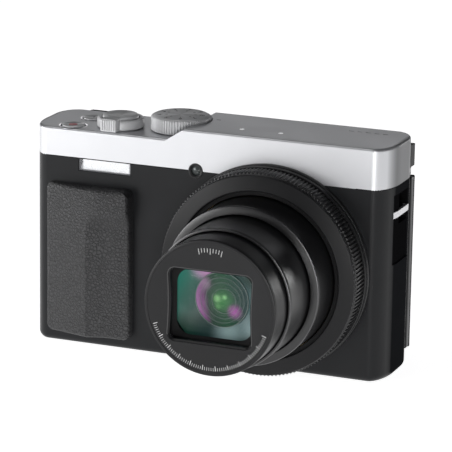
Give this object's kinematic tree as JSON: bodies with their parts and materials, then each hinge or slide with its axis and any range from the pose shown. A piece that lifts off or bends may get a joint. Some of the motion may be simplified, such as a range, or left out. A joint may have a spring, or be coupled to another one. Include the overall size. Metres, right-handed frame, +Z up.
{
  "type": "compact digital camera",
  "caption": "Compact digital camera with a telescoping zoom lens that retracts, a shutter and barrier, top dials, a rubber grip and a flip-up monitor.",
  "frame": {"origin": "mouth of the tripod socket, on the bottom face at mid width", "axes": "+Z up, -Y along the lens towards the subject, +X towards the side away from the grip"},
  "size_m": [0.112, 0.0763, 0.0707],
  "materials": {
    "black_shell": "black satin paint with a fine grain",
    "silver_cover": "silver satin paint",
    "grip_rubber": "matt black leather-grained rubber",
    "black_ring": "black anodised knurled metal",
    "black_gloss": "polished black barrel",
    "lens_glass": "coated optical glass",
    "clear_window": "clear moulded window",
    "bright_metal": "polished plate",
    "turned_metal": "turned with a concentric brushed face",
    "dark_metal": "dark plated steel",
    "steel": "plain steel",
    "black_plastic": "fine spark texture",
    "screen_glass": "hard coated cover glass",
    "cell_wrap": "battery wrap",
    "board_green": "solder mask",
    "brass": "turned brass"
  },
  "bodies": {
    "camera_body": {"front_casing": "black_shell", "rear_casing": "black_shell", "top_cover": "silver_cover", "hinge_pins": "steel", "flash_window": "clear_window", "flash_unit": "bright_metal", "assist_lamp_lens": "clear_window", "grip_pad": "grip_rubber", "lens_housing": "black_ring", "lens_bezel": "black_gloss", "lens_base_plate": "dark_metal", "image_sensor": "board_green", "zoom_motor": "steel", "thumb_rest": "grip_rubber", "finder_eyepiece": "black_plastic", "eyepiece_lens": "clear_window", "finder_module": "black_plastic", "battery_box": "black_plastic", "battery": "cell_wrap", "memory_card": "black_plastic", "strap_lug": "dark_metal", "data_sockets": "steel", "tripod_bush": "steel", "casing_screws": "steel", "main_chassis": "dark_metal", "circuit_boards": "board_green"},
    "control_ring": {"control_ring": "black_ring"},
    "outer_barrel": {"outer_barrel": "black_gloss"},
    "middle_barrel": {"middle_barrel": "black_gloss", "zoom_group": "lens_glass"},
    "front_barrel": {"front_barrel": "black_gloss", "front_cell": "black_plastic", "front_element": "lens_glass"},
    "upper_inner_blade": {"upper_inner_blade": "black_ring"},
    "upper_outer_blade": {"upper_outer_blade": "black_ring"},
    "lower_inner_blade": {"lower_inner_blade": "black_ring"},
    "lower_outer_blade": {"lower_outer_blade": "black_ring"},
    "focus_group": {"focus_group": "black_plastic"},
    "cam_ring": {"cam_ring": "brass"},
    "idler_gear": {"idler_gear": "brass"},
    "motor_pinion": {"motor_pinion": "brass"},
    "zoom_lever": {"zoom_lever": "turned_metal"},
    "shutter_button": {"shutter_button": "turned_metal"},
    "mode_dial": {"mode_dial": "turned_metal"},
    "record_button": {"record_button": "turned_metal"},
    "power_button": {"power_button": "turned_metal"},
    "rear_dial": {"rear_dial": "black_plastic"},
    "set_button": {"set_button": "black_plastic"},
    "playback_button": {"playback_button": "black_plastic"},
    "function_button": {"function_button": "black_plastic"},
    "display_button": {"display_button": "black_plastic"},
    "delete_button": {"delete_button": "black_plastic"},
    "finder_button": {"finder_button": "black_plastic"},
    "diopter_dial": {"diopter_dial": "black_plastic"},
    "monitor_hinge_plate": {"monitor_hinge_plate": "dark_metal"},
    "monitor": {"monitor_frame": "black_shell", "monitor_glass": "screen_glass"},
    "battery_door": {"battery_door": "black_plastic"},
    "door_latch": {"door_latch": "black_plastic"},
    "port_cover": {"port_cover": "black_plastic"}
  },
  "joints": [
    {"name": "control_ring_turn", "type": "hinge", "parent": "camera_body", "child": "control_ring", "pos_m": [0.0205, -0.02, 0.0311], "axis": [0, 1, 0], "continuous": true},
    {"name": "lens_retract", "type": "slide", "parent": "camera_body", "child": "outer_barrel", "axis": [0, 1, 0], "range_m": [0, 0.0115]},
    {"name": "middle_retract", "type": "slide", "parent": "outer_barrel", "child": "middle_barrel", "axis": [0, 1, 0], "range_m": [0, 0.0143]},
    {"name": "front_retract", "type": "slide", "parent": "middle_barrel", "child": "front_barrel", "axis": [0, 1, 0], "range_m": [0, 0.0088]},
    {"name": "barrier_close", "type": "slide", "parent": "front_barrel", "child": "upper_inner_blade", "axis": [0, 0, -1], "range_m": [0, 0.0102]},
    {"name": "upper_outer_close", "type": "slide", "parent": "front_barrel", "child": "upper_outer_blade", "axis": [0, 0, -1], "range_m": [0, 0.0052]},
    {"name": "lower_inner_close", "type": "slide", "parent": "front_barrel", "child": "lower_inner_blade", "axis": [0, 0, 1], "range_m": [0, 0.0102]},
    {"name": "lower_outer_close", "type": "slide", "parent": "front_barrel", "child": "lower_outer_blade", "axis": [0, 0, 1], "range_m": [0, 0.0052]},
    {"name": "focus_travel", "type": "slide", "parent": "camera_body", "child": "focus_group", "axis": [0, 1, 0], "range_m": [0, 0.0025]},
    {"name": "cam_ring_turn", "type": "hinge", "parent": "camera_body", "child": "cam_ring", "pos_m": [0.0205, -0.01, 0.0311], "axis": [0, 1, 0], "range_deg": [0, 30]},
    {"name": "idler_turn", "type": "hinge", "parent": "camera_body", "child": "idler_gear", "pos_m": [-0.0115, -0.002, 0.0311], "axis": [0, 1, 0], "range_deg": [-170, 0]},
    {"name": "motor_turn", "type": "hinge", "parent": "camera_body", "child": "motor_pinion", "pos_m": [-0.0115, -0.002, 0.0386], "axis": [0, 1, 0], "range_deg": [0, 340]},
    {"name": "zoom_lever_turn", "type": "hinge", "parent": "camera_body", "child": "zoom_lever", "pos_m": [-0.0306, -0.0043, 0.066], "axis": [0, 0, 1], "range_deg": [-25, 25], "stiffness_Nm_per_rad": 0.02},
    {"name": "shutter_press", "type": "slide", "parent": "camera_body", "child": "shutter_button", "axis": [0, 0, -1], "range_m": [0, 0.0005], "stiffness_N_per_m": 300, "springref_m": -0.0006},
    {"name": "mode_dial_turn", "type": "hinge", "parent": "camera_body", "child": "mode_dial", "pos_m": [-0.0128, -0.0008, 0.066], "axis": [0, 0, 1], "continuous": true},
    {"name": "record_press", "type": "slide", "parent": "camera_body", "child": "record_button", "axis": [0, 0, -1], "range_m": [0, 0.0003], "stiffness_N_per_m": 300, "springref_m": -0.0006},
    {"name": "power_press", "type": "slide", "parent": "camera_body", "child": "power_button", "axis": [0, 0, -1], "range_m": [0, 0.0003], "stiffness_N_per_m": 300, "springref_m": -0.0006},
    {"name": "rear_dial_turn", "type": "hinge", "parent": "camera_body", "child": "rear_dial", "pos_m": [-0.0385, 0.013, 0.023], "axis": [0, 1, 0], "continuous": true},
    {"name": "set_press", "type": "slide", "parent": "camera_body", "child": "set_button", "axis": [0, -1, 0], "range_m": [0, 0.0004], "stiffness_N_per_m": 300, "springref_m": -0.0006},
    {"name": "playback_press", "type": "slide", "parent": "camera_body", "child": "playback_button", "axis": [0, -1, 0], "range_m": [0, 0.0004], "stiffness_N_per_m": 300, "springref_m": -0.0006},
    {"name": "function_press", "type": "slide", "parent": "camera_body", "child": "function_button", "axis": [0, -1, 0], "range_m": [0, 0.0004], "stiffness_N_per_m": 300, "springref_m": -0.0006},
    {"name": "display_press", "type": "slide", "parent": "camera_body", "child": "display_button", "axis": [0, -1, 0], "range_m": [0, 0.0004], "stiffness_N_per_m": 300, "springref_m": -0.0006},
    {"name": "delete_press", "type": "slide", "parent": "camera_body", "child": "delete_button", "axis": [0, -1, 0], "range_m": [0, 0.0004], "stiffness_N_per_m": 300, "springref_m": -0.0006},
    {"name": "finder_press", "type": "slide", "parent": "camera_body", "child": "finder_button", "axis": [0, -1, 0], "range_m": [0, 0.0004], "stiffness_N_per_m": 300, "springref_m": -0.0006},
    {"name": "diopter_turn", "type": "hinge", "parent": "camera_body", "child": "diopter_dial", "pos_m": [0.0508, 0.015, 0.06185], "axis": [0, 1, 0], "range_deg": [-135, 135]},
    {"name": "monitor_tilt", "type": "hinge", "parent": "camera_body", "child": "monitor_hinge_plate", "pos_m": [0, 0.015, 0.057], "axis": [1, 0, 0], "range_deg": [0, 180]},
    {"name": "monitor_shift", "type": "slide", "parent": "monitor_hinge_plate", "child": "monitor", "axis": [0, 0, -1], "range_m": [0, 0.0165]},
    {"name": "battery_door_swing", "type": "hinge", "parent": "camera_body", "child": "battery_door", "pos_m": [-0.0508, -0.002, 0.0012], "axis": [0, 1, 0], "range_deg": [0, 90]},
    {"name": "door_latch_slide", "type": "slide", "parent": "battery_door", "child": "door_latch", "axis": [-1, 0, 0], "range_m": [0, 0.0025]},
    {"name": "port_cover_swing", "type": "hinge", "parent": "camera_body", "child": "port_cover", "pos_m": [-0.0554, 0.0016, 0.0515], "axis": [0, 0, 1], "range_deg": [-95, 0]}
  ],
  "couplings": [
    {"joint": "middle_retract", "follows": "lens_retract", "ratio": 1.2434},
    {"joint": "front_retract", "follows": "lens_retract", "ratio": 0.7652},
    {"joint": "upper_outer_close", "follows": "barrier_close", "ratio": 0.509},
    {"joint": "lower_inner_close", "follows": "barrier_close", "ratio": 1},
    {"joint": "lower_outer_close", "follows": "barrier_close", "ratio": 0.509},
    {"joint": "cam_ring_turn", "follows": "lens_retract", "rad_per_m": 45},
    {"joint": "idler_turn", "follows": "lens_retract", "rad_per_m": -243},
    {"joint": "motor_turn", "follows": "lens_retract", "rad_per_m": 486},
    {"joint": "monitor_shift", "follows": "monitor_tilt", "m_per_rad": 0.0052}
  ]
}
